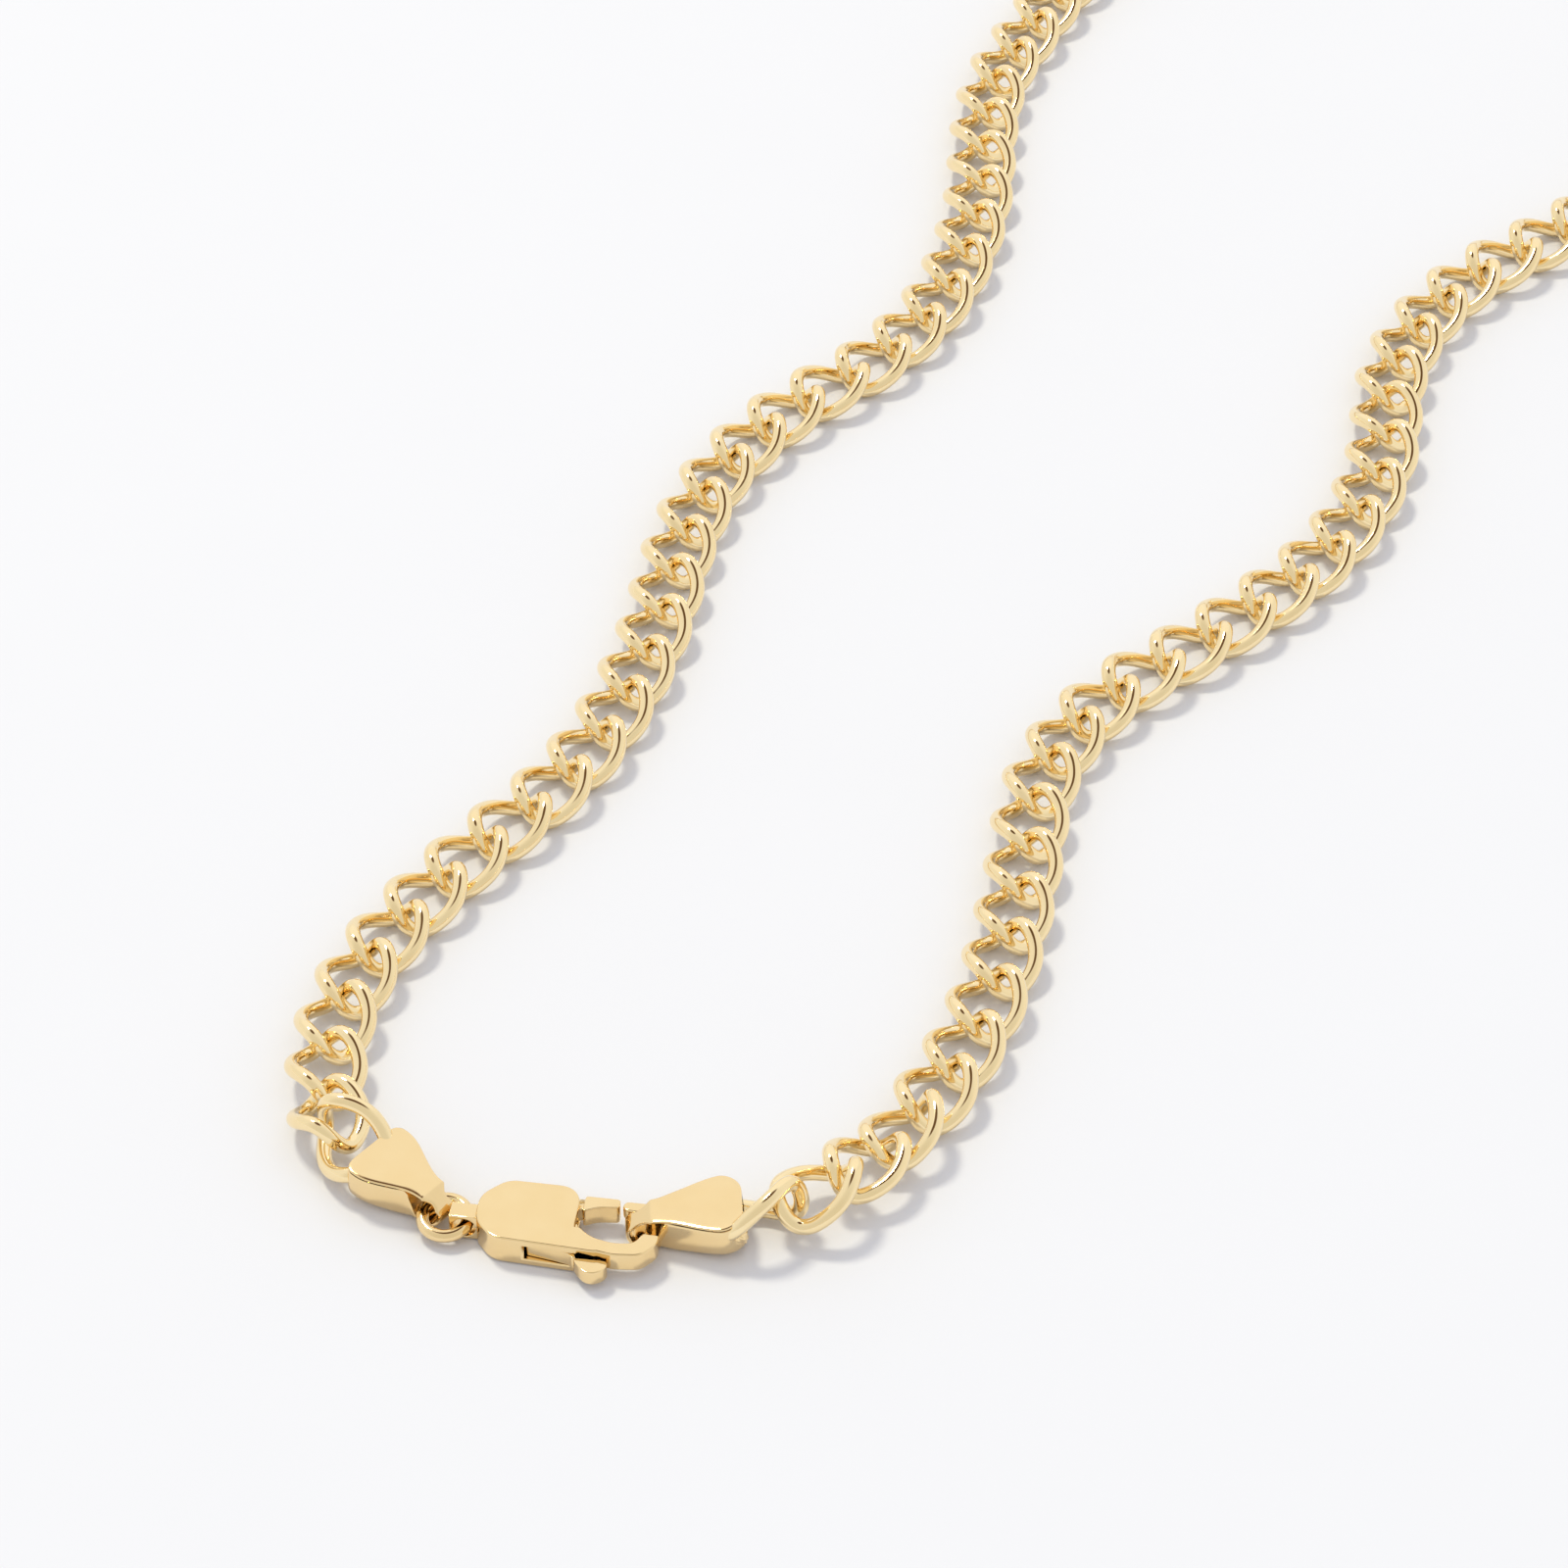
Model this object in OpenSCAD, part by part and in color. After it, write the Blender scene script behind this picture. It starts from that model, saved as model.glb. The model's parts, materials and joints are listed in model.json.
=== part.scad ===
// Chain necklace: an open curb chain closed by a flat lobster clasp, lying closed on a table.
// Millimetres, +Z up, +X along the clasp from its tail eye to its hook, +Y into the loop of chain.
// The origin is the middle of the clasp's underside, at table height.

/* [Drawing] */
// Piece to draw, or all of them

/* [Chain] */
// Diameter of the round link wire
wire_d = 1.02; // [0.8:0.01:1.2]
// Distance from one link to the next along the taut chain
pitch = 4.5; // [4:0.1:5]
// Half the length of a link, along its wire's centre line
link_a = 2.82; // [2.5:0.01:3.2]
// Half the width of a link, along its wire's centre line
link_b = 2.2; // [1.8:0.05:2.6]
// Lean of each link end out of the flat, which makes the curb twist
end_lean = 45; // [30:5:60]
// Half the angle that each link end's bend covers
end_bend = 20; // [10:5:40]
// Links in each fold row, on each side
row_links = 3; // [2:1:5]
// Fold rows between the clasp and the back of the neck
rows = 14; // [8:1:14]
// Links that close the loop at the back, between the two strands as they were laid
closing_links = 35; // [30:1:40]

/* [Clasp] */
// Thickness of the clasp's body
clasp_h = 2.1; // [1.6:0.1:2.6]
// Thickness of the hook and of the trigger lever
hook_h = 0.88; // [0.6:0.02:1.2]
// Radius of the pin that the trigger lever turns on
pin_r = 0.3; // [0.2:0.05:0.5]

/* [Jump ring] */
// Radius of the ring's centre line
ring_r = 1.45; // [1.2:0.05:2]
// Diameter of the ring's wire
ring_wire_d = 0.84; // [0.6:0.02:1]
// Tilt of the ring where it lies between clasp and cap
ring_tilt = 8; // [0:1:20]

/* [End caps] */
// Length of a cap from its eye to its rounded end
cap_len = 6.5; // [5:0.5:8]
// Widest part of a cap
cap_w = 5; // [4:0.5:6]
// Clear radius of a cap's eye
eye_r = 0.72; // [0.5:0.02:1]
// Rise of each cap from its eye to its end link
cap_tilt = 6; // [0:0.5:15]
// Further rise of each end link from its cap
end_link_tilt = 3.5; // [0:0.5:8]
// Distance from a cap's eye to the middle of its end link
end_link_x = 7.4; // [7:0.1:8]

/* [Hidden] */
$fn = 48;
gold = [0.93, 0.76, 0.44];
pale_gold = [0.96, 0.84, 0.58];
steel = [0.75, 0.75, 0.76];

// Where the ring and the two caps lie, as seen from above
ring_at = [-5.92, -0.2, 0.98];
left_eye = [-6.65, 0.56, 1.16];
left_cap_heading = 149.5;
right_eye = [6.4, 0.75, 1.05];
right_cap_heading = 11.5;
// Turn of each end link in its cap, towards its strand
left_end_yaw = -15;
right_end_yaw = 12;

// Each strand starts where its second link hooks into the end link, and is laid as runs of
// [links, turn per link in degrees], measured from the clasp outwards.
left_start = [-14.1, 4.7];
left_heading = 119;
left_runs = [[5, -10], [3, -3.5], [3, 6.5], [3, 4], [2, -3.5], [1, -10.5], [3, -8], [4, 8.5], [3, 4.5],
             [2, -3.5], [1, -13]];
left_lift = 0.45;
right_start = [15.7, 2.7];
right_heading = 36;
right_runs = [[1, 10], [1, 12], [1, 8], [4, 5], [3, 2], [4, -11], [3, 2], [5, 8], [5, -9.5]];
right_lift = 1.25;
// The first links by the caps hang a little slack and settle from the caps' height to the table's,
// each tilted and rolled over by a few degrees
lead_links = 4;
left_lead_pitch = 4.5;
left_tilts = [-10, -3];
left_rolls = [0, 5];
right_lead_pitch = 4.1;
right_tilts = [7, -8];
right_rolls = [-10, 0, -15];

// ---- the curb link: six arcs of wire, two at the ends and four along the sides

function unit(v) = v / norm(v);
function side_reach(bend) = link_b * tan(end_lean) / sin(bend);
function end_radius(bend) = (link_b / cos(end_lean) - side_reach(bend) * cos(end_bend)) / sin(end_bend);
function length_error(bend) =
    link_a - end_radius(bend) * (1 - cos(end_bend)) - side_reach(bend) * (sin(end_bend) + cos(bend));
// Halves the interval until the side arcs meet the end arcs at the wanted length
function solve_bend(low, high, steps) =
    let (middle = (low + high) / 2)
    steps == 0 ? middle
        : length_error(low) * length_error(middle) <= 0 ? solve_bend(low, middle, steps - 1)
        : solve_bend(middle, high, steps - 1);

side_bend = solve_bend(45, 89, 40);
end_r = end_radius(side_bend);
end_plane = [0, cos(end_lean), -sin(end_lean)];
join_point = [link_a - end_r * (1 - cos(end_bend)), 0, 0] + end_r * sin(end_bend) * end_plane;
join_dir = [-sin(end_bend), 0, 0] + cos(end_bend) * end_plane;
middle_dir = [-cos(side_bend), 0, sin(side_bend)];
side_turn = acos(join_dir * middle_dir);
side_r = side_reach(side_bend) / tan(side_turn / 2);
side_normal = unit(middle_dir - cos(side_turn) * join_dir);
// How far the wire's centre line dips below the link's middle, which sets how high the link lies
dip_turn = atan(-join_dir[2] / side_normal[2]);
dip = -join_point[2] - side_r * (1 - cos(dip_turn)) * side_normal[2] - side_r * sin(dip_turn) * join_dir[2];

module wire_arc(centre, start, along, radius, angle, wire, overrun) {
    up = cross(start, along);
    multmatrix([[start[0], along[0], up[0], centre[0]],
                [start[1], along[1], up[1], centre[1]],
                [start[2], along[2], up[2], centre[2]]])
        rotate([0, 0, -overrun])
            rotate_extrude(angle = angle + 2 * overrun)
                translate([radius, 0])
                    circle(d = wire);
}

// Every second arc is a hair thinner and runs on into its neighbours, so the six fuse into one solid
module side_arc(thin) {
    wire_arc(join_point + side_r * side_normal, -side_normal, join_dir, side_r, side_turn,
             thin ? wire_d - 0.02 : wire_d, thin ? 2 : 0);
}

module end_arc(thin) {
    wire_arc([link_a - end_r, 0, 0], cos(end_bend) * [1, 0, 0] - sin(end_bend) * end_plane,
             cos(end_bend) * end_plane + sin(end_bend) * [1, 0, 0], end_r, 2 * end_bend,
             thin ? wire_d - 0.02 : wire_d, thin ? 2 : 0);
}

module link() {
    end_arc(false);
    side_arc(true);
    rotate([0, 180, 0]) side_arc(false);
    rotate([0, 0, 180]) end_arc(true);
    rotate([0, 0, 180]) side_arc(false);
    rotate([180, 0, 0]) side_arc(true);
}

// ---- how the chain lies: a closed row of contact points, with one link between each pair

function heading_after(runs, heading, count) =
    let (turns = [for (run = runs) for (i = [1:run[0]]) run[1]])
    heading + sum([for (i = [0:count - 1]) turns[i]]);
function sum(values, i = 0) = i == len(values) ? 0 : values[i] + sum(values, i + 1);
function run_length(runs) = sum([for (run = runs) run[0]]);
function lay(start, heading, runs, lead_pitch) =
    let (turns = [for (run = runs) for (i = [1:run[0]]) run[1]])
    [for (i = 0, angle = heading, point = start;
          i <= len(turns);
          angle = angle + (i < len(turns) ? turns[i] : 0),
          point = point + (i < lead_links - 1 ? lead_pitch : pitch) * [cos(angle), sin(angle)],
          i = i + 1) point];

left_points = lay(left_start, left_heading, left_runs, left_lead_pitch);
right_points = lay(right_start, right_heading, right_runs, right_lead_pitch);
left_out = heading_after(left_runs, left_heading, run_length(left_runs));
right_out = heading_after(right_runs, right_heading, run_length(right_runs));

// The back of the loop is one smooth curve, bulged until its links fit in it exactly
left_tip = left_points[len(left_points) - 1];
right_tip = right_points[len(right_points) - 1];
function curve(bulge, t) =
    pow(1 - t, 3) * left_tip
    + 3 * pow(1 - t, 2) * t * (left_tip + bulge * [cos(left_out), sin(left_out)])
    + 3 * (1 - t) * t * t * (right_tip + bulge * [cos(right_out), sin(right_out)])
    + t * t * t * right_tip;
curve_steps = 120;
function curve_table(bulge) =
    [for (i = 0, run = 0;
          i <= curve_steps;
          run = run + norm(curve(bulge, (i + 1) / curve_steps) - curve(bulge, i / curve_steps)),
          i = i + 1) [run, i / curve_steps]];
function curve_length(bulge) = curve_table(bulge)[curve_steps][0];
function solve_bulge(low, high, steps) =
    let (middle = (low + high) / 2)
    steps == 0 ? middle
        : curve_length(middle) < closing_links * pitch ? solve_bulge(middle, high, steps - 1)
        : solve_bulge(low, middle, steps - 1);
bulge = solve_bulge(10, 200, 24);
closing_table = curve_table(bulge);
closing_points = [for (i = [1:closing_links - 1]) curve(bulge, lookup(i * pitch, closing_table))];

contacts = concat(left_points, closing_points, [for (i = [len(right_points) - 1:-1:0]) right_points[i]]);
link_count = len(contacts) - 1;

// How far a link near a cap is lifted, counted from that cap
function lead_lift(lift, i) = lift * max(0, 1 - (i + 0.5) / lead_links);
function link_z(i) =
    wire_d / 2 + dip + lead_lift(left_lift, i) + lead_lift(right_lift, link_count - 1 - i);
// A link's own angle from a strand's list, or none beyond the list's end
function lead_angle(angles, i) = i < len(angles) ? angles[i] : 0;

module laid_link(i) {
    far = link_count - 1 - i;
    roll = lead_angle(left_rolls, i) - lead_angle(right_rolls, far);
    tilt = lead_angle(left_tilts, i) - lead_angle(right_tilts, far);
    step = contacts[i + 1] - contacts[i];
    middle = (contacts[i + 1] + contacts[i]) / 2;
    translate([middle[0], middle[1], link_z(i)])
        rotate([roll, -tilt, atan2(step[1], step[0])])
            link();
}

module laid_links(first, last) {
    color(gold)
        for (i = [first:last])
            laid_link(i);
}

function row_name(side, row) = str(side, "_links_", row < 10 ? "0" : "", row);

module left_row(row) {
    laid_links((row - 1) * row_links, row * row_links - 1);
}

module right_row(row) {
    laid_links(link_count - row * row_links, link_count - 1 - (row - 1) * row_links);
}

module back_links() {
    laid_links(rows * row_links, link_count - 1 - rows * row_links);
}

// ---- folded end caps, with the end links soldered between their plates

function mirrored(points) = [for (i = [len(points) - 1:-1:0]) [points[i][0], -points[i][1]]];
function arc(radius, from, to, count) =
    [for (i = [0:count]) let (a = from + (to - from) * i / count) radius * [cos(a), sin(a)]];
// Cuts each corner of an outline with a smooth curve that starts "r" before the corner
function rounded(points, r, count = 5) =
    let (n = len(points))
    [for (i = [0:n - 1])
        let (corner = points[i],
             before = points[(i + n - 1) % n] - corner,
             after = points[(i + 1) % n] - corner,
             from = corner + before * min(0.5, r / norm(before)),
             to = corner + after * min(0.5, r / norm(after)))
        for (k = [0:count])
            let (t = k / count)
            (1 - t) * (1 - t) * from + 2 * (1 - t) * t * corner + t * t * to];

strap_t = 0.3;
plate_t = 0.42;
strap_w = 1;
mouth = eye_r + 0.3;

module cap_plan() {
    edge = [[-eye_r - 0.6, strap_w / 2], [-0.4, strap_w / 2 + 0.05], [0.2, 0.95], [1.4, 1.05],
            [cap_len - 1.9, cap_w / 2], [cap_len - 1.1, cap_w / 2 - 0.3], [cap_len, 1]];
    polygon(rounded(concat(edge, mirrored(edge)), 0.6));
}

module cap_profile() {
    top = [[cap_len + 1, mouth], [cap_len + 1, mouth + plate_t],
           [0.1, eye_r + plate_t], [0.1, eye_r + strap_t]];
    polygon(concat(top, arc(eye_r + strap_t, 90, 270, 18), mirrored(top), arc(eye_r, 270, 90, 18)));
}

module folded_cap() {
    intersection() {
        rotate([90, 0, 0])
            linear_extrude(2 * cap_w, center = true)
                cap_profile();
        linear_extrude(6, center = true)
            cap_plan();
    }
    solder();
}

// Solder that joins the end link's wire to both plates
module solder() {
    rotate([0, -end_link_tilt / 2, 0])
        translate([end_link_x - link_a, 0, 0])
            sphere(r = mouth);
}

module at_cap(eye, heading) {
    translate(eye)
        rotate([0, -cap_tilt, 0] + [0, 0, heading])
            children();
}

module end_link(yaw) {
    color(gold)
        rotate([0, -end_link_tilt, 0])
            translate([end_link_x, 0, 0])
                rotate([-end_lean, 0, yaw])
                    link();
}

module left_cap() {
    color(pale_gold)
        at_cap(left_eye, left_cap_heading)
            folded_cap();
}

module right_cap() {
    color(pale_gold)
        at_cap(right_eye, right_cap_heading)
            folded_cap();
}

module left_end_link() {
    at_cap(left_eye, left_cap_heading)
        end_link(left_end_yaw);
}

module right_end_link() {
    at_cap(right_eye, right_cap_heading)
        end_link(right_end_yaw);
}

module jump_ring() {
    color(gold)
        translate(ring_at)
            rotate([ring_tilt, 0, 0])
                rotate_extrude()
                    translate([ring_r, 0])
                        circle(d = ring_wire_d);
}

// ---- the clasp: a hollow body with a hook, and a lever with a gate and a thumb knob

pivot = [0.9, 1.2];
tail_eye = [-4.62, -0.3, 0.98];
tail_eye_r = 0.74;
hook_z = 0.72;
cavity_z = 0.45;
cavity_h = 1.15;
lever_z = cavity_z + 0.05;
lever_h = cavity_h - 0.1;
hub_h = 0.5;
hub_r = 0.75;
// The pin is pressed in from below and stops short of the polished top
pin_h = clasp_h - 0.25;

module body_plan() {
    polygon(rounded([[-3.9, -1], [-2.6, -2.5], [4.4, -2.85], [4.4, -2.1], [2.4, -1.2],
                     [2.4, 1.8], [1.6, 2.65], [-2.4, 2.65], [-3.9, 1.1]], 0.7));
}

module hook_plan() {
    polygon(concat(
        rounded([[2, -2.4], [5.2, -2.95], [6.9, -2.75], [7.8, -1.6], [7.8, 1.2], [7, 2.3], [5.05, 2.3],
                 [5.05, 1.5], [6.4, 1.4], [6.75, 0.6], [6.75, -0.8], [6.3, -1.7], [5, -1.85],
                 [3.7, -1.55], [2.85, -0.95], [2.5, -0.1], [2.2, 1.2], [1, 1.2]], 0.45)));
}

// Room inside the body for the lever and its spring, open at the front slot and at the gate
module cavity_plan() {
    polygon([[-0.5, -3.2], [3.3, -3.2], [3.3, -2.35], [1.95, -0.3], [3.2, 0.65], [3.2, 2.42],
             [0.4, 2.3], [-0.6, 1.9], [-2, -0.6], [-2, -2.2], [-0.5, -2.3]]);
}

module tail_block() {
    difference() {
        translate([tail_eye[0] - 0.95, tail_eye[1] - 0.63, 0])
            cube([2.2, 1.26, clasp_h - 0.15]);
        translate([tail_eye[0], tail_eye[1], tail_eye[2]])
            rotate([90, 0, 0])
                cylinder(r = tail_eye_r, h = 3, center = true);
    }
}

module hook() {
    translate([0, 0, hook_z])
        linear_extrude(hook_h)
            hook_plan();
    // The front arm is as high as the body nearly to its end
    intersection() {
        translate([0, 0, hook_z])
            linear_extrude(clasp_h - hook_z)
                hook_plan();
        translate([0, -4, 0])
            cube([8, 3.2, clasp_h]);
    }
}

module clasp_body() {
    color(gold) {
        difference() {
            union() {
                linear_extrude(clasp_h)
                    body_plan();
                hook();
            }
            translate([0, 0, cavity_z])
                linear_extrude(cavity_h)
                    cavity_plan();
            translate([pivot[0], pivot[1], -1])
                cylinder(r = pin_r + 0.01, h = pin_h + 1.01);
        }
        tail_block();
    }
}

// The gate closes the hook at the back, and the knob stands out of the front slot
module lever_plan() {
    polygon(rounded([[0.5, 1.8], [1.9, 2.1], [4.9, 2.1], [4.9, 1.35], [2.3, 1.2], [1.6, 0.9]], 0.25));
    // The arm ends in a curved front that fills the slot
    polygon([[0.35, 0.75], [1.6, 0.9], [1.75, -0.6], [3.2, -2.5], [3.2, -2.98], [2.6, -2.98], [2.3, -2.7],
             [1.5, -2.53], [0.6, -2.4], [-0.2, -2.27], [-0.44, -2.2], [-0.44, -1.9], [0.9, -1.75],
             [1.3, -1.2]]);
    polygon(rounded([[2.6, -2.98], [4.9, -2.98], [4.9, -3.6], [4.3, -4.15], [3.6, -4.15], [3.05, -3.6]], 0.4));
}

// Outside the body the gate is nearly as high as the body, and flares towards it
module gate_bar() {
    linear_extrude(clasp_h - 0.2 - lever_z)
        polygon(rounded([[2.65, 2.1], [4.9, 2.1], [4.9, 1.35], [3.6, 1.2], [2.65, 0.75]], 0.25));
}

module trigger_lever() {
    color(gold)
        difference() {
            translate([0, 0, lever_z]) {
                linear_extrude(lever_h)
                    lever_plan();
                translate(pivot)
                    cylinder(r = hub_r, h = hub_h);
                gate_bar();
            }
            // Recess over the hub for the spring
            translate([pivot[0], pivot[1], lever_z + hub_h])
                cylinder(r = hub_r, h = lever_h);
            translate([pivot[0], pivot[1], -1])
                cylinder(r = pin_r + 0.05, h = clasp_h + 2);
        }
}

module lever_pin() {
    color(steel)
        translate(pivot)
            cylinder(r = pin_r, h = pin_h);
}

spring_wire_d = 0.14;
spring_r = 0.5;
spring_turns = 3;

module trigger_spring() {
    color(steel)
        translate([pivot[0], pivot[1], lever_z + hub_h + 0.05]) {
            rotate_extrude()
                translate([spring_r - spring_wire_d / 2, 0])
                    square([spring_wire_d, spring_turns * spring_wire_d]);
            // One leg bears on the body's back wall
            translate([-spring_r, 0, 1.5 * spring_wire_d])
                rotate([-90, 0, 0])
                    cylinder(d = spring_wire_d, h = 0.85);
        }
}

for (row = [1:rows]) {
    left_row(row);
    right_row(row);
}
back_links();
left_end_link();
right_end_link();
left_cap();
right_cap();
jump_ring();
clasp_body();
trigger_lever();
lever_pin();
trigger_spring();
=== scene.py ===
"""Chain necklace in polished yellow gold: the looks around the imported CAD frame, in metres."""
import json
import math

import bmesh
import bpy
import numpy as np
from mathutils import Matrix, Vector


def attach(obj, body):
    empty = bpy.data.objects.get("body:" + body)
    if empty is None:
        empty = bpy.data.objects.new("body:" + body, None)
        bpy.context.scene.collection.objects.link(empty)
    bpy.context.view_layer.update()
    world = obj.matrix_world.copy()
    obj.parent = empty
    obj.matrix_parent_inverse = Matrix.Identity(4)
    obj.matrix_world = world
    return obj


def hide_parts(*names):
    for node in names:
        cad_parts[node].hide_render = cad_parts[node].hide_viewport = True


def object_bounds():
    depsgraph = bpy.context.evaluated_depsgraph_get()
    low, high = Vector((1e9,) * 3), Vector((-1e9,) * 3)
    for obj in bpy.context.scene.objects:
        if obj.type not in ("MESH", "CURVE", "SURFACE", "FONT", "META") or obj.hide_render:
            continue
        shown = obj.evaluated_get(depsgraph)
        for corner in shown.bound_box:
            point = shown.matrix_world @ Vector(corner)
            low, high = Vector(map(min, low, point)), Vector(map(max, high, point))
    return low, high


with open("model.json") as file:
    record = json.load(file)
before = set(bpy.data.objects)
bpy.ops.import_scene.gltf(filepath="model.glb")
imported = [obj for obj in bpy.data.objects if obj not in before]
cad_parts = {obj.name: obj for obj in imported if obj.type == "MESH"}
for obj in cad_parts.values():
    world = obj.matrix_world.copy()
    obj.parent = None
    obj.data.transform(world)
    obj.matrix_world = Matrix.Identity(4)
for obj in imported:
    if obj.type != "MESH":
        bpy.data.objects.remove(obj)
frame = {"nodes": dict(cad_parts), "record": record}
cad_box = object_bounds()

MM = 0.001

# ---- the camera: the point on the table that it looks at, and where it stands from there
LOOK_AT = Vector((8.85, 44.71, 0)) * MM
CAMERA_AZIMUTH = math.radians(-81.5)
CAMERA_ELEVATION = math.radians(41.4)
CAMERA_DISTANCE = 401.3 * MM
CAMERA_LENS = 135

# ---- the curb link: half the size of its wire's centre line, and the wire
LINK_HALF_LENGTH = 2.82 * MM
LINK_HALF_WIDTH = 2.2 * MM
LINK_HALF_HEIGHT = 0.929 * MM
WIRE_RADIUS = 0.51 * MM
STEPS_ALONG = 128
STEPS_AROUND = 28

# ---- the folded end caps: widths are half widths, and heights are measured from the middle of the eye
EYE_RADIUS = 0.72 * MM
STRAP_THICKNESS = 0.3 * MM
STRAP_WAIST = 0.6 * MM
PLATE_THICKNESS = 0.26 * MM
PLATE_HEIGHT = 1.29 * MM
CAP_BOTTOM = -1.21 * MM
CAP_WIDEST = 2.48 * MM
CAP_NECK = 1.02 * MM
# Places round the eye, in degrees from the cap's X axis: where the strap's slope aims, and its round part
SLOPE_AIM = 155
EYE_FRONT = 160
EYE_BOTTOM = 270
# The bottom plate's walls end just under the top plate, lean in by a part of their height, and bulge sideways
WALL_HEIGHT = PLATE_HEIGHT - 0.14 * MM - CAP_BOTTOM
WALL_LEAN = 0.09
WALL_BULGE = 0.2 * MM
# A higher even number folds the walls up more sharply
FOLD_SHARPNESS = 10
SHEET_STEPS = 64
SHEET_CREASE = math.radians(38)

# ---- the clasp: how much its body and its lever are rounded, at edges sharper than an angle
BODY_ROUNDING = 0.14 * MM
LEVER_ROUNDING = 0.07 * MM
HARD_EDGE = math.radians(35)
# Faces whose directions differ by less than this are merged before the rounding
FLAT_FACES = math.radians(1.5)
# The tail eye reaches from the clasp's tail to this X, between these heights
TAIL_EYE_END = -3.7 * MM
TAIL_EYE_LOW = 0.1 * MM
TAIL_EYE_HIGH = 2.0 * MM

# ---- the lamp
KEY_AZIMUTH = math.radians(138)
KEY_ELEVATION = math.radians(62)
KEY_DISTANCE = 3.0


# ---- helpers: materials

def new_material(name):
    material = bpy.data.materials.new(name)
    material.use_nodes = True
    material.node_tree.nodes.clear()
    return material


def add(nodes, kind, **values):
    node = nodes.new(kind)
    for key, value in values.items():
        setattr(node, key, value)
    return node


def noise(nodes, links, coordinate, scale, detail, roughness=0.5):
    """Noise with a scale in blobs to a metre, so that 1000 gives blobs of about a millimetre."""
    node = add(nodes, "ShaderNodeTexNoise")
    node.inputs["Scale"].default_value = scale
    node.inputs["Detail"].default_value = detail
    node.inputs["Roughness"].default_value = roughness
    links.new(coordinate, node.inputs["Vector"])
    return node.outputs["Fac"]


def spread(nodes, links, value, low, high):
    """The value, from 0.3 to 0.7 as noise mostly is, spread over low to high."""
    node = add(nodes, "ShaderNodeMapRange")
    node.inputs["From Min"].default_value = 0.3
    node.inputs["From Max"].default_value = 0.7
    node.inputs["To Min"].default_value = low
    node.inputs["To Max"].default_value = high
    links.new(value, node.inputs["Value"])
    return node.outputs["Result"]


def polished_metal(name, pale, deep, smooth, worn, ripple):
    """Polished metal: a slight drift of colour, hand-polish haze, and hairline handling scratches."""
    material = new_material(name)
    nodes, links = material.node_tree.nodes, material.node_tree.links
    output = add(nodes, "ShaderNodeOutputMaterial")
    shader = add(nodes, "ShaderNodeBsdfPrincipled")
    shader.inputs["Metallic"].default_value = 1.0
    links.new(shader.outputs["BSDF"], output.inputs["Surface"])
    place = add(nodes, "ShaderNodeTexCoord").outputs["Object"]

    colour = add(nodes, "ShaderNodeMix", data_type="RGBA")
    colour.inputs["A"].default_value = (*pale, 1)
    colour.inputs["B"].default_value = (*deep, 1)
    drift = noise(nodes, links, place, 420, 2)
    links.new(spread(nodes, links, drift, 0, 1), colour.inputs["Factor"])
    links.new(colour.outputs["Result"], shader.inputs["Base Color"])

    haze = noise(nodes, links, place, 1500, 4, 0.6)
    links.new(spread(nodes, links, haze, smooth, worn), shader.inputs["Roughness"])

    # Fine scratches, drawn out in one direction, over the long waves that polishing leaves
    stretch = add(nodes, "ShaderNodeMapping")
    stretch.inputs["Scale"].default_value = (1, 0.12, 0.4)
    stretch.inputs["Rotation"].default_value = (0.3, 0.2, 0.6)
    links.new(place, stretch.inputs["Vector"])
    scratches = noise(nodes, links, stretch.outputs["Vector"], 9000, 3, 0.7)
    waves = noise(nodes, links, place, 650, 1)
    height = add(nodes, "ShaderNodeMath", operation="MULTIPLY_ADD")
    height.inputs[1].default_value = 0.04
    links.new(scratches, height.inputs[0])
    links.new(waves, height.inputs[2])
    bump = add(nodes, "ShaderNodeBump")
    bump.inputs["Strength"].default_value = ripple
    bump.inputs["Distance"].default_value = 0.02 * MM
    links.new(height.outputs["Value"], bump.inputs["Height"])
    links.new(bump.outputs["Normal"], shader.inputs["Normal"])
    return material


GOLD = polished_metal("polished_gold", pale=(0.92, 0.71, 0.39), deep=(0.90, 0.678, 0.355),
                      smooth=0.05, worn=0.12, ripple=0.12)
LINK_GOLD = polished_metal("polished_link_gold", pale=(0.98, 0.80, 0.475), deep=(0.96, 0.765, 0.435),
                           smooth=0.05, worn=0.12, ripple=0.12)
GOLD_SHEET = polished_metal("polished_gold_sheet", pale=(0.915, 0.705, 0.387), deep=(0.90, 0.678, 0.357),
                            smooth=0.07, worn=0.14, ripple=0.1)
STEEL = polished_metal("bright_steel", pale=(0.72, 0.70, 0.66), deep=(0.62, 0.60, 0.57),
                       smooth=0.18, worn=0.30, ripple=0.5)


# ---- helpers: meshes

def add_object(name, mesh, material, smooth=True):
    piece = bpy.data.objects.new(name, mesh)
    bpy.context.scene.collection.objects.link(piece)
    mesh.materials.clear()
    mesh.materials.append(material)
    for polygon in mesh.polygons:
        polygon.use_smooth = smooth
    return piece


def place_piece(piece, body, slot, *nodes):
    """The piece rides on a body and replaces the CAD nodes that are named, if any. The slot is not used."""
    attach(piece, body)
    if nodes:
        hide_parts(*nodes)


def body_of(node):
    return next(body for body, members in frame["record"]["behaviour"]["bodies"].items() if node in members)


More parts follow.
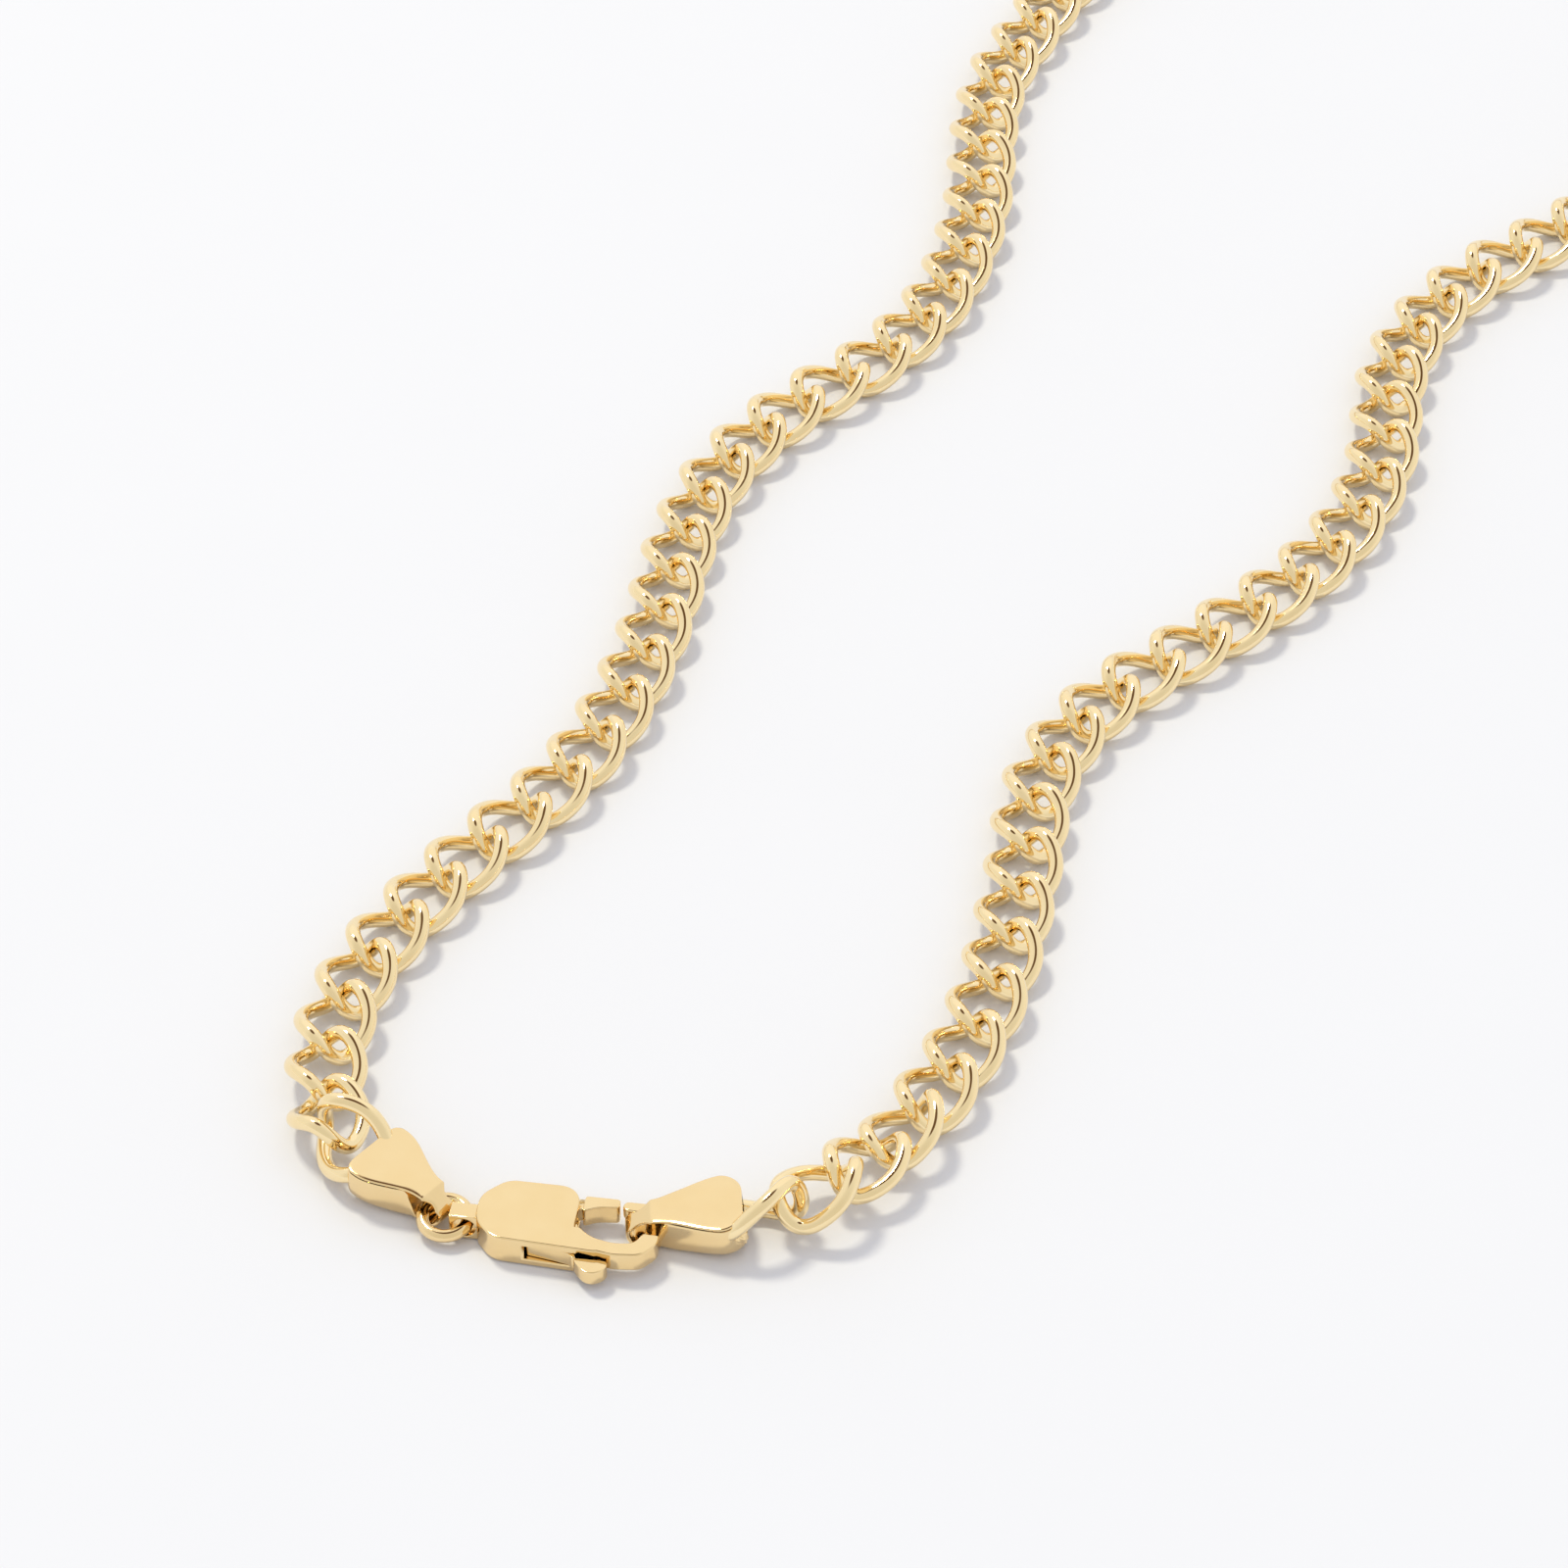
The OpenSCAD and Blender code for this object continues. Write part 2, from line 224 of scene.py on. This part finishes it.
def loops_to_mesh(name, loops, closed):
    """A tube through loops of points, joined end to start if it is closed, or capped at both ends."""
    count, around = len(loops), len(loops[0])
    points = [tuple(point) for loop in loops for point in loop]
    faces = []
    for i in range(count if closed else count - 1):
        here, there = i * around, (i + 1) % count * around
        for k in range(around):
            after = (k + 1) % around
            faces.append((here + k, here + after, there + after, there + k))
    if not closed:
        faces.append(tuple(reversed(range(around))))
        faces.append(tuple(range((count - 1) * around, count * around)))
    mesh = bpy.data.meshes.new(name)
    mesh.from_pydata(points, [], faces)
    tidy_mesh(mesh)
    return mesh


def tidy_mesh(mesh):
    """Merges doubled points and turns every face outwards."""
    shape = bmesh.new()
    shape.from_mesh(mesh)
    bmesh.ops.remove_doubles(shape, verts=shape.verts, dist=0.0005 * MM)
    bmesh.ops.recalc_face_normals(shape, faces=shape.faces)
    shape.to_mesh(mesh)
    shape.free()
    mesh.update()


def node_surface(node):
    """The triangles of a CAD node, as corner numbers, and its points, with those in one place merged."""
    mesh = frame["nodes"][node].data
    mesh.calc_loop_triangles()
    points = np.empty(len(mesh.vertices) * 3)
    mesh.vertices.foreach_get("co", points)
    corners = np.empty(len(mesh.loop_triangles) * 3, int)
    mesh.loop_triangles.foreach_get("vertices", corners)
    points, merged = np.unique(points.reshape(-1, 3).round(7), axis=0, return_inverse=True)
    return merged.reshape(-1)[corners].reshape(-1, 3), points


def solids(corners, count):
    """Which solid each triangle belongs to: triangles that share points are one solid."""
    label = np.arange(count)
    while True:
        lowest = label[corners].min(axis=1)
        new = label.copy()
        for k in range(3):
            np.minimum.at(new, corners[:, k], lowest)
        new = new[new]
        if (new == label).all():
            return label[corners[:, 0]]
        label = new


def own_axes(triangles):
    """A solid's own frame: its centre, its longest axis as X, and its shortest as Z, as a matrix."""
    edge_a = triangles[:, 1] - triangles[:, 0]
    edge_b = triangles[:, 2] - triangles[:, 0]
    area = np.linalg.norm(np.cross(edge_a, edge_b), axis=1)
    middle = triangles.mean(axis=1)
    centre = (middle * area[:, None]).sum(axis=0) / area.sum()
    offset = middle - centre
    spread_matrix = (offset * area[:, None]).T @ offset
    axes = np.linalg.eigh(spread_matrix)[1][:, ::-1]
    if np.linalg.det(axes) < 0:
        axes[:, 2] *= -1
    return centre, axes


def solid_poses(node):
    """(centre, axes) of every separate solid in a CAD node."""
    corners, points = node_surface(node)
    label = solids(corners, len(points))
    return [own_axes(points[corners[label == one]]) for one in np.unique(label)]


# ---- the links

def link_centre_line():
    """Points on the wire's centre line: a slightly squared oval, twisted once up and down on each side.
    The six numbers are waves that a script fitted to the photographed links, scaled to the link's size."""
    turn = np.linspace(0, 2 * np.pi, STEPS_ALONG, endpoint=False)
    x = 2.740 * np.cos(turn) + 0.032 * np.cos(3 * turn)
    y = 2.107 * np.sin(turn) - 0.086 * np.sin(3 * turn)
    z = -(0.995 * np.sin(2 * turn) + 0.158 * np.sin(4 * turn))
    line = np.stack([x, y, z], axis=1)
    return line * [LINK_HALF_LENGTH, LINK_HALF_WIDTH, LINK_HALF_HEIGHT] / line.max(axis=0)


def swept_wire(line, radius):
    """Loops of wire surface around a closed centre line, kept from twisting by a fixed inward direction."""
    along = np.roll(line, -1, axis=0) - np.roll(line, 1, axis=0)
    along /= np.linalg.norm(along, axis=1)[:, None]
    inward = -line
    inward -= (inward * along).sum(axis=1)[:, None] * along
    inward /= np.linalg.norm(inward, axis=1)[:, None]
    side = np.cross(along, inward)
    turn = np.linspace(0, 2 * np.pi, STEPS_AROUND, endpoint=False)[None, :, None]
    return line[:, None] + radius * (np.cos(turn) * inward[:, None] + np.sin(turn) * side[:, None])


LINK_SURFACE = swept_wire(link_centre_line(), WIRE_RADIUS)


def link_mesh(name, poses):
    """One mesh with a link at each pose."""
    shape = bmesh.new()
    for centre, axes in poses:
        part = loops_to_mesh(name, LINK_SURFACE @ axes.T + centre, True)
        shape.from_mesh(part)
        bpy.data.meshes.remove(part)
    mesh = bpy.data.meshes.new(name)
    shape.to_mesh(mesh)
    shape.free()
    return mesh


def add_links():
    """Every CAD node of links is redrawn with smooth wire, in the places where its solids are."""
    for node in sorted(frame["nodes"]):
        if "link" in node:
            piece = add_object(node + "_wire", link_mesh(node + "_wire", solid_poses(node)), LINK_GOLD)
            place_piece(piece, body_of(node), "gold", node)


# ---- the folded end caps

def cap_frame(node):
    """The cap's own frame: origin at its eye, X towards its wide end, Z up."""
    corners, points = node_surface(node)
    centre, axes = own_axes(points[corners])
    ahead = axes[:, 0]
    # Of the two shorter axes, the steeper one is the cap's up
    up = axes[:, 1] if abs(axes[2, 1]) > abs(axes[2, 2]) else axes[:, 2]
    up = up * np.sign(up[2])
    # The centre lies nearer to the wide end
    along = (points - centre) @ ahead
    if along.max() > -along.min():
        ahead = -ahead
    axes = np.stack([ahead, np.cross(up, ahead), up], axis=1)
    reach = ((points - centre) @ ahead).min()
    eye = centre + ahead * (reach + EYE_RADIUS + STRAP_THICKNESS)
    return Matrix.Translation(eye) @ Matrix(axes.tolist()).to_4x4()


def smooth_step(x, low, high):
    """Rises smoothly from 0 at "low" to 1 at "high"."""
    t = np.clip((x - low) / (high - low), 0, 1)
    return t * t * (3 - 2 * t)


def signed_power(value, power):
    """A power of the value's size that keeps the value's sign."""
    return np.sign(value) * np.abs(value) ** power


def strip_section(x, z, turn, half_width, thickness, wall=0.0):
    """A loop of points round a strip of sheet metal with rounded edges, whose outer face looks "turn" degrees
    above the cap's X axis. Its sides are folded back into walls of a height, if one is given."""
    around = np.linspace(0, 2 * np.pi, SHEET_STEPS, endpoint=False)
    across = signed_power(np.cos(around), 0.3)
    face = signed_power(np.sin(around), 0.6) * thickness / 2
    # The strip is flat in the middle and turns back sharply near both edges
    rise = wall * across ** FOLD_SHARPNESS
    slope = -np.arctan2(FOLD_SHARPNESS * wall * across ** (FOLD_SHARPNESS - 1), half_width)
    sideways = across * (half_width - WALL_LEAN * rise) - face * np.sin(slope)
    outwards = face * np.cos(slope) - rise
    angle = math.radians(turn)
    outer = [math.cos(angle), 0, math.sin(angle)]
    return np.array([x, 0, z]) + np.outer(outwards, outer) + np.outer(sideways, [0, 1, 0])


def plate_width(x, length, tip):
    """Half the width of a paddle at a distance x from the eye: a narrow neck, a flare, and a rounded tip."""
    shoulder = length - (CAP_WIDEST - tip)
    flare = CAP_NECK + (CAP_WIDEST - CAP_NECK) * smooth_step(x, 0.5 * MM, length - 0.9 * MM)
    past = np.clip((x - shoulder) / (length - shoulder), 0, 1)
    return flare - (CAP_WIDEST - tip) * (1 - np.sqrt(1 - past ** 2))


def plate_stations(length, neck):
    """Places along a plate, from its tip to the neck, crowded together where the tip rounds off."""
    return neck + (length - neck) * np.sin(np.linspace(math.pi / 2, 0, 60))


def top_plate(length, tip, neck):
    """Sections from the tip to the neck, where the plate dips a little."""
    sections = []
    for x in plate_stations(length, neck):
        dip = 0.1 * MM * (1 - smooth_step(x, neck, neck + 1.5 * MM))
        width = plate_width(x, length, tip)
        sections.append(strip_section(x, PLATE_HEIGHT - dip, 90, width, PLATE_THICKNESS))
    return sections


def sloping_strap(neck):
    """Sections from a crease at the neck straight down to the front of the eye, waisted on the way."""
    radius = EYE_RADIUS + STRAP_THICKNESS / 2
    aim = math.radians(SLOPE_AIM)
    front = np.array([radius * math.cos(aim), radius * math.sin(aim)])
    top = np.array([neck - 0.06 * MM, PLATE_HEIGHT - 0.17 * MM])
    slope = math.degrees(math.atan2(top[1] - front[1], top[0] - front[0]))
    sections = []
    for t in np.linspace(0, 0.85, 12):
        x, z = top + (front - top) * t
        width = CAP_NECK - (CAP_NECK - STRAP_WAIST) * math.sin(math.pi * min(t / 1.1, 1))
        sections.append(strip_section(x, z, slope + 90, width, STRAP_THICKNESS))
    return sections


def strap_under_eye():
    """Sections round the front of the eye and under it, widening to the neck of the bottom plate."""
    radius = EYE_RADIUS + STRAP_THICKNESS / 2
    waist = STRAP_WAIST + 0.1 * MM
    sections = []
    for turn in np.linspace(EYE_FRONT, EYE_BOTTOM, 20):
        x = radius * math.cos(math.radians(turn))
        z = radius * math.sin(math.radians(turn))
        width = waist + (CAP_NECK - waist) * (turn - EYE_FRONT) / (EYE_BOTTOM - EYE_FRONT)
        sections.append(strip_section(x, z, turn, width, STRAP_THICKNESS))
    return sections


def bottom_plate(length, tip):
    """Sections from the neck to the tip, with walls that rise past the neck and stand round the top plate."""
    eye_bottom = -EYE_RADIUS - STRAP_THICKNESS / 2
    sections = []
    for x in reversed(plate_stations(length, 0.3 * MM)):
        z = eye_bottom + (CAP_BOTTOM - eye_bottom) * smooth_step(x, 0.3 * MM, 2.4 * MM)
        risen = smooth_step(x, 0.5 * MM, 1.7 * MM)
        width = plate_width(x, length, tip) + WALL_BULGE * risen
        sections.append(strip_section(x, z, EYE_BOTTOM, width, PLATE_THICKNESS, WALL_HEIGHT * risen))
    return sections


def add_cap(node, length, tip, neck):
    """One folded strip of sheet: the top plate, the strap round the eye, and the cupped bottom plate.
    "tip" is half the plates' width at their very end, and the top plate starts at "neck"."""
    loops = top_plate(length, tip, neck) + sloping_strap(neck) + strap_under_eye() + bottom_plate(length, tip)
    mesh = loops_to_mesh(node + "_sheet", loops, False)
    mesh.transform(cap_frame(node))
    piece = add_object(node + "_sheet", mesh, GOLD_SHEET)
    mesh.set_sharp_from_angle(angle=SHEET_CREASE)
    place_piece(piece, "front", "gold_sheet", node)


def add_solder(name, cap, middle, radii):
    """A lump of solder in a cap's own frame, in millimetres, that ran round the wire of its end link."""
    shape = bmesh.new()
    bmesh.ops.create_icosphere(shape, subdivisions=5, radius=1)
    for vertex in shape.verts:
        x, y, z = vertex.co
        lumps = 0.10 * math.sin(4 * x + 2 * y) + 0.08 * math.sin(5 * y - 3 * z)
        lumps += 0.05 * math.sin(9 * z + 6 * x)
        lumpy = vertex.co * (1 + lumps)
        vertex.co = Vector([lumpy[k] * radii[k] + middle[k] for k in range(3)]) * MM
    mesh = bpy.data.meshes.new(name)
    shape.to_mesh(mesh)
    shape.free()
    mesh.transform(cap_frame(cap))
    place_piece(add_object(name, mesh, GOLD), "front", "gold")


# ---- the clasp, its lever and the ring

def on_tail_eye(point):
    """Whether a point of the clasp is on its tail eye, whose walls are thin."""
    return point.x < TAIL_EYE_END and TAIL_EYE_LOW < point.z < TAIL_EYE_HIGH


def mark_hard_edges(shape):
    """The edges to round: those that stand out sharply, half as much round the tail eye."""
    weight = shape.edges.layers.float.new("bevel_weight_edge")
    for edge in shape.edges:
        if edge.is_convex and edge.calc_face_angle() > HARD_EDGE:
            middle = (edge.verts[0].co + edge.verts[1].co) / 2
            edge[weight] = 0.5 if on_tail_eye(middle) else 1.0


def add_softened(node, bevel):
    """A gold copy of a CAD node, with its flat faces merged and its sharp outer edges rounded."""
    mesh = frame["nodes"][node].data.copy()
    tidy_mesh(mesh)
    shape = bmesh.new()
    shape.from_mesh(mesh)
    bmesh.ops.dissolve_limit(shape, angle_limit=FLAT_FACES, verts=shape.verts, edges=shape.edges)
    mark_hard_edges(shape)
    shape.to_mesh(mesh)
    shape.free()
    piece = add_object(node + "_soft", mesh, GOLD)
    rounding = piece.modifiers.new("rounding", "BEVEL")
    rounding.width = bevel
    rounding.segments = 4
    rounding.use_clamp_overlap = False
    rounding.limit_method = "WEIGHT"
    flats = piece.modifiers.new("flats", "WEIGHTED_NORMAL")
    flats.weight = 100
    place_piece(piece, body_of(node), "gold", node)


def dress_cad_nodes():
    """The CAD nodes whose shapes stay as they are get their finish."""
    for node, material in (("jump_ring", GOLD), ("lever_pin", STEEL), ("trigger_spring", STEEL)):
        for slot in frame["nodes"][node].material_slots:
            slot.material = material


# ---- studio: table, lights, camera

def floor_material():
    material = new_material("white_table")
    nodes, links = material.node_tree.nodes, material.node_tree.links
    output = add(nodes, "ShaderNodeOutputMaterial")
    shader = add(nodes, "ShaderNodeBsdfPrincipled")
    shader.inputs["Roughness"].default_value = 0.9
    shader.inputs["Specular IOR Level"].default_value = 0.1
    tone = add(nodes, "ShaderNodeMix", data_type="RGBA")
    tone.inputs["A"].default_value = (0.787, 0.787, 0.792, 1)
    tone.inputs["B"].default_value = (0.797, 0.797, 0.802, 1)
    place = add(nodes, "ShaderNodeTexCoord").outputs["Object"]
    links.new(noise(nodes, links, place, 60, 3), tone.inputs["Factor"])
    links.new(tone.outputs["Result"], shader.inputs["Base Color"])
    links.new(shader.outputs["BSDF"], output.inputs["Surface"])
    return material


def add_floor():
    mesh = bpy.data.meshes.new("table")
    reach = 3.0
    corners = [(-reach, -reach, 0), (reach, -reach, 0), (reach, reach, 0), (-reach, reach, 0)]
    mesh.from_pydata(corners, [], [(0, 1, 2, 3)])
    table = add_object("table", mesh, floor_material(), smooth=False)
    table.location = LOOK_AT + Vector((0, 0, cad_box[0][2] - 0.02 * MM))


def direction(azimuth, elevation):
    """The unit vector towards a place on the sky."""
    flat = math.cos(elevation)
    return Vector((flat * math.cos(azimuth), flat * math.sin(azimuth), math.sin(elevation)))


def add_key_light():
    """A slightly warm square lamp behind the necklace on the left, small enough for defined shadows."""
    light = bpy.data.lights.new("key", "AREA")
    light.size = 0.5
    light.energy = 40
    light.color = (1, 0.955, 0.79)
    lamp = bpy.data.objects.new("key", light)
    bpy.context.scene.collection.objects.link(lamp)
    lamp.location = LOOK_AT + KEY_DISTANCE * direction(KEY_AZIMUTH, KEY_ELEVATION)
    lamp.rotation_euler = (LOOK_AT - lamp.location).to_track_quat("-Z", "Y").to_euler()


def facing(nodes, links, place, toward, full, gone):
    """A round patch of sky: 1 within "full" degrees of a direction, 0 beyond "gone" degrees."""
    turned = add(nodes, "ShaderNodeVectorMath", operation="DOT_PRODUCT")
    turned.inputs[1].default_value = toward
    links.new(place, turned.inputs[0])
    patch = add(nodes, "ShaderNodeMapRange", interpolation_type="SMOOTHSTEP")
    patch.inputs["From Min"].default_value = math.cos(math.radians(gone))
    patch.inputs["From Max"].default_value = math.cos(math.radians(full))
    links.new(turned.outputs["Value"], patch.inputs["Value"])
    return patch.outputs["Result"]


def patch_over(nodes, links, under, colour, amount):
    """A colour laid over another one, by an amount from 0 to 1."""
    mix = add(nodes, "ShaderNodeMix", data_type="RGBA")
    if isinstance(under, tuple):
        mix.inputs["A"].default_value = (*under, 1)
    else:
        links.new(under, mix.inputs["A"])
    mix.inputs["B"].default_value = (*colour, 1)
    links.new(amount, mix.inputs["Factor"])
    return mix.outputs["Result"]


def add_world():
    """A white tent. Polished gold mirrors it, so each patch is a tone that shows on the metal."""
    world = bpy.data.worlds.new("tent")
    world.use_nodes = True
    bpy.context.scene.world = world
    nodes, links = world.node_tree.nodes, world.node_tree.links
    nodes.clear()
    place = add(nodes, "ShaderNodeTexCoord").outputs["Generated"]

    # Each patch: its colour, its direction, and how far round it is full and gone, in degrees
    grey_side = ((0.76, 0.75, 0.72), direction(CAMERA_AZIMUTH, math.radians(25)), 20, 85)
    back_window = ((1.02, 1.02, 1.02), direction(CAMERA_AZIMUTH + math.pi, CAMERA_ELEVATION), 26, 46)
    brown_card = ((0.14, 0.08, 0.045), direction(CAMERA_AZIMUTH, math.radians(96)), 12, 20)
    tent = (0.92, 0.92, 0.92)
    for colour, toward, full, gone in (grey_side, back_window, brown_card):
        tent = patch_over(nodes, links, tent, colour, facing(nodes, links, place, toward, full, gone))

    # Scattered light from the tent is a little blue, so shadows on the table are cool
    rays = add(nodes, "ShaderNodeLightPath")
    cool = patch_over(nodes, links, tent, (0.80, 0.82, 0.90), rays.outputs["Is Diffuse Ray"])
    view = patch_over(nodes, links, cool, (0.94, 0.94, 0.94), rays.outputs["Is Camera Ray"])
    background = add(nodes, "ShaderNodeBackground")
    background.inputs["Strength"].default_value = 1.0
    links.new(view, background.inputs["Color"])
    output = add(nodes, "ShaderNodeOutputWorld")
    links.new(background.outputs["Background"], output.inputs["Surface"])


def add_camera():
    data = bpy.data.cameras.new("camera")
    data.lens = CAMERA_LENS
    data.clip_start = 0.01
    camera = bpy.data.objects.new("camera", data)
    bpy.context.scene.collection.objects.link(camera)
    camera.location = LOOK_AT + CAMERA_DISTANCE * direction(CAMERA_AZIMUTH, CAMERA_ELEVATION)
    camera.rotation_euler = (LOOK_AT - camera.location).to_track_quat("-Z", "Y").to_euler()
    bpy.context.scene.camera = camera


def add_studio():
    add_camera()
    add_world()
    add_floor()
    add_key_light()
    bpy.context.scene.view_settings.view_transform = "Standard"


add_links()
add_cap("left_cap", length=5.6 * MM, tip=1.8 * MM, neck=0.35 * MM)
add_cap("right_cap", length=6.48 * MM, tip=0.9 * MM, neck=0.75 * MM)
add_solder("left_solder", "left_cap", middle=(4.9, 0, 0), radii=(0.8, 1.5, 0.95))
add_solder("right_solder", "right_cap", middle=(5.1, 0, 0), radii=(0.8, 1.5, 0.95))
add_solder("right_solder_drop", "right_cap", middle=(6.2, -1.92, 0.3), radii=(0.48, 0.45, 0.65))
add_softened("clasp_body", BODY_ROUNDING)
add_softened("trigger_lever", LEVER_ROUNDING)
dress_cad_nodes()
add_studio()
